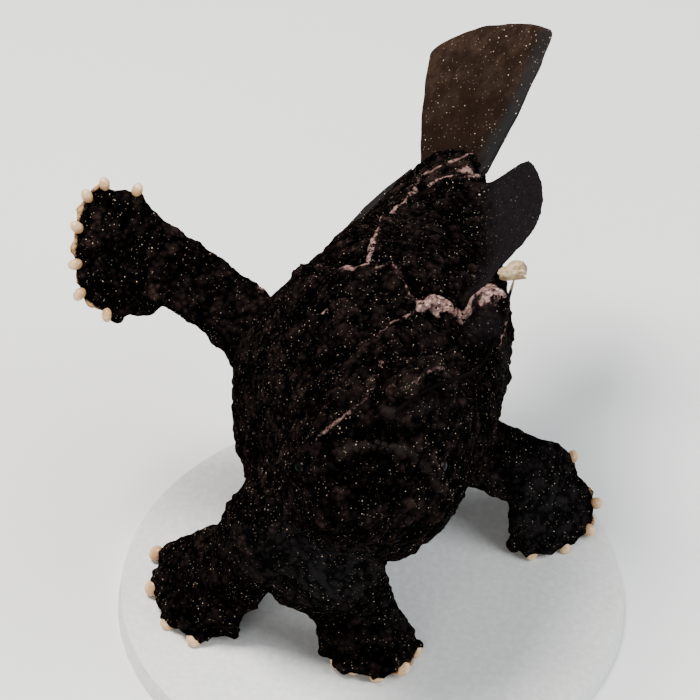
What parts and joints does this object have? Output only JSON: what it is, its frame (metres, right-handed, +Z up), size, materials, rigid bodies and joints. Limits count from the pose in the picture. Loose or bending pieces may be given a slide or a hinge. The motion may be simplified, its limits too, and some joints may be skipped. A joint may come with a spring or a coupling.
{
  "type": "frogfish model",
  "caption": "Life-size black frogfish walking on its paired fins, one pectoral fin raised, on a plain round base.",
  "frame": {"origin": "centre of the underside of the round base", "axes": "+Z up, +Y towards the fish's tail, away from its face, +X towards the fish's left side; the base's axis is Z"},
  "size_m": [0.13, 0.1661, 0.1057],
  "materials": {
    "skin": "rough",
    "fin": "satin",
    "pale_flesh": "satin",
    "eye": "glossy",
    "base": "matte"
  },
  "bodies": {
    "root": {"head": "skin", "lower_jaw": "skin", "torso": "skin", "tail": "skin", "pectoral_arm_right": "fin", "pectoral_arm_left": "fin", "pelvic_arm_right": "fin", "pelvic_arm_left": "fin", "pectoral_fin_right": "fin", "pectoral_fin_left": "fin", "pelvic_fin_right": "fin", "pelvic_fin_left": "fin", "dorsal_fin": "fin", "anal_fin": "fin", "caudal_fin": "fin", "dorsal_spine_second": "skin", "dorsal_spine_third": "skin", "lure": "pale_flesh", "eye_right": "eye", "eye_left": "eye", "stand_base": "base"}
  },
  "joints": []
}
